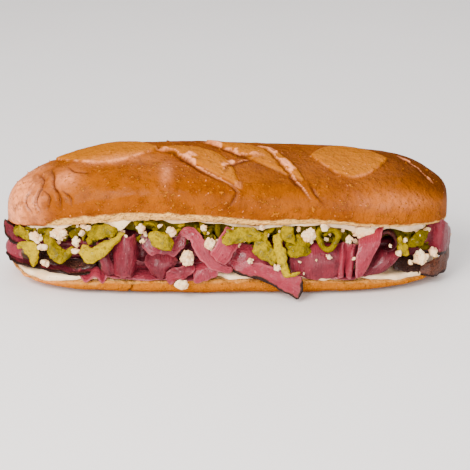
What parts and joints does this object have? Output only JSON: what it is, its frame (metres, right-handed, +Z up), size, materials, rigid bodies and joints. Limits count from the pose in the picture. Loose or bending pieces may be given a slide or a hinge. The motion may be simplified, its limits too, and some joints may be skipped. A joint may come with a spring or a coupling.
{
  "type": "submarine sandwich",
  "caption": "Long glazed bread roll cut through its side, filled with folded sliced beef, pickled yellow pepper strips, crumbled white cheese and cream dressing.",
  "frame": {"origin": "bottom centre of the bounding box, on the surface that the roll rests on", "axes": "+X along the roll, +Z up; the side that the picture shows faces -Y"},
  "size_m": [0.2426, 0.0984, 0.0717],
  "materials": {
    "crust": "glazed baked crust, golden brown",
    "beef": "moist pink cured beef",
    "pepper": "wet yellow-green pickle",
    "cheese": "crumbly off-white",
    "dressing": "smooth cream"
  },
  "bodies": {
    "root": {"beef_bark": "beef", "beef_bowl": "beef", "beef_brown_fold": "beef", "beef_crinkle": "beef", "beef_dark_heel": "beef", "beef_dark_layer": "beef", "beef_drape": "beef", "beef_left_end": "beef", "beef_left_rim": "beef", "beef_left_tip": "beef", "beef_long_flap": "beef", "beef_long_flap_behind": "beef", "beef_low_fold": "beef", "beef_mound": "beef", "beef_pleats": "beef", "beef_purple_layer": "beef", "beef_ribbon": "beef", "beef_right_end": "beef", "beef_right_end_behind": "beef", "beef_roll": "beef", "beef_row": "beef", "beef_speckled": "beef", "beef_speckled_behind": "beef", "beef_square_flap": "beef", "beef_stack": "beef", "beef_tall_fold": "beef", "beef_tall_fold_behind": "beef", "beef_tongue": "beef", "beef_tongue_behind": "beef", "beef_wedge": "beef", "beef_wedge_behind": "beef", "bun_base": "crust", "bun_lid": "crust", "cheese_by_flap": "cheese", "cheese_cream": "cheese", "cheese_high": "cheese", "cheese_low": "cheese", "cheese_middle": "cheese", "cheese_right": "cheese", "cheese_right_behind": "cheese", "cheese_under_lid": "cheese", "dressing_base": "dressing", "dressing_lid": "dressing", "pepper_bed": "pepper", "pepper_bright_left": "pepper", "pepper_curl": "pepper", "pepper_curved_right": "pepper", "pepper_far_left": "pepper", "pepper_hook": "pepper", "pepper_hook_behind": "pepper", "pepper_leaf_right": "pepper", "pepper_lobe": "pepper", "pepper_long": "pepper", "pepper_long_behind": "pepper", "pepper_right_lobe": "pepper", "pepper_ring": "pepper", "pepper_sliver": "pepper", "pepper_strand": "pepper", "pepper_upper_left": "pepper", "pepper_wide": "pepper"}
  },
  "joints": []
}
